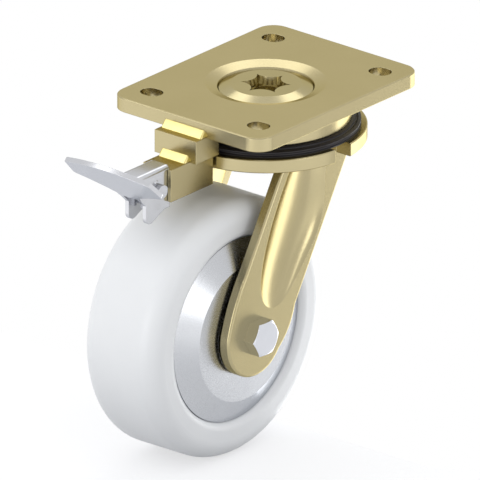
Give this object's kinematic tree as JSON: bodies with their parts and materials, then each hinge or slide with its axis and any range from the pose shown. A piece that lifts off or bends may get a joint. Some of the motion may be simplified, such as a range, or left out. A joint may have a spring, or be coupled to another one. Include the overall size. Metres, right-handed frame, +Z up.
{
  "type": "heavy duty swivel castor with pedal lock",
  "caption": "Plate-mounted heavy duty swivel castor with a wide white wheel, offset pressed fork and a fishtail pedal lock on the plate.",
  "frame": {"origin": "middle of the top plate's upper face, on the swivel axis", "axes": "+Z up out of the top plate, X along the wheel axle at rest, the pedal and the trailing wheel towards -Y"},
  "size_m": [0.1122, 0.2113, 0.2],
  "materials": {
    "yellow_zinc": "yellow passivated zinc plate, satin",
    "weld_metal": "plated weld bead, satin",
    "silver_zinc": "bright zinc plate, satin",
    "wheel_plate": "zinc plated sheet, satin",
    "bearing_steel": "ground steel",
    "white_polyamide": "moulded, satin",
    "black_rubber": "moulded, matt"
  },
  "bodies": {
    "mount": {"top_plate": "yellow_zinc", "kingpin": "yellow_zinc", "kingpin_nut": "silver_zinc", "upper_race": "yellow_zinc", "lower_race": "yellow_zinc", "lock_block": "yellow_zinc", "lock_housing": "yellow_zinc", "plate_weld": "weld_metal", "housing_weld": "weld_metal", "pivot_bracket": "silver_zinc", "pivot_pin": "silver_zinc", "pivot_clip": "silver_zinc"},
    "fork": {"fork_crown": "yellow_zinc", "fork_leg_near": "yellow_zinc", "fork_leg_far": "yellow_zinc", "seal_ring": "black_rubber", "axle_bolt": "silver_zinc", "axle_washer": "silver_zinc", "axle_nut": "silver_zinc", "axle_tube": "bearing_steel", "hub_spacers": "bearing_steel", "bearing_inner_ring_near": "bearing_steel", "bearing_inner_ring_far": "bearing_steel"},
    "swivel_balls": {"upper_balls": "bearing_steel", "lower_balls": "bearing_steel"},
    "wheel": {"wheel_tyre": "white_polyamide", "wheel_rim": "wheel_plate", "wheel_disc_near": "wheel_plate", "wheel_disc_far": "wheel_plate", "wheel_hub": "wheel_plate", "bearing_outer_ring_near": "bearing_steel", "bearing_outer_ring_far": "bearing_steel", "bearing_shield_near": "bearing_steel", "bearing_shield_far": "bearing_steel"},
    "wheel_balls": {"bearing_balls_near": "bearing_steel", "bearing_balls_far": "bearing_steel"},
    "pedal": {"pedal": "silver_zinc", "drive_pin": "silver_zinc"},
    "lock_bolt": {"lock_bolt": "silver_zinc"}
  },
  "joints": [
    {"name": "swivel", "type": "hinge", "parent": "mount", "child": "fork", "pos_m": [0, 0, -0.028], "axis": [0, 0, 1], "continuous": true},
    {"name": "swivel_ball_turn", "type": "hinge", "parent": "mount", "child": "swivel_balls", "pos_m": [0, 0, -0.028], "axis": [0, 0, 1], "continuous": true},
    {"name": "wheel_spin", "type": "hinge", "parent": "fork", "child": "wheel", "pos_m": [0, -0.0546, -0.125], "axis": [1, 0, 0], "continuous": true},
    {"name": "wheel_ball_turn", "type": "hinge", "parent": "fork", "child": "wheel_balls", "pos_m": [0, -0.0546, -0.125], "axis": [1, 0, 0], "continuous": true},
    {"name": "pedal_press", "type": "hinge", "parent": "mount", "child": "pedal", "pos_m": [0, -0.1015, -0.032], "axis": [1, 0, 0], "range_deg": [0, 45]},
    {"name": "lock_slide", "type": "slide", "parent": "mount", "child": "lock_bolt", "axis": [0, 1, 0], "range_m": [0, 0.0068]}
  ],
  "couplings": [
    {"joint": "swivel_ball_turn", "follows": "swivel", "ratio": 0.5},
    {"joint": "wheel_ball_turn", "follows": "wheel_spin", "ratio": 0.6015},
    {"joint": "lock_slide", "follows": "pedal_press", "m_per_rad": 0.008553}
  ]
}
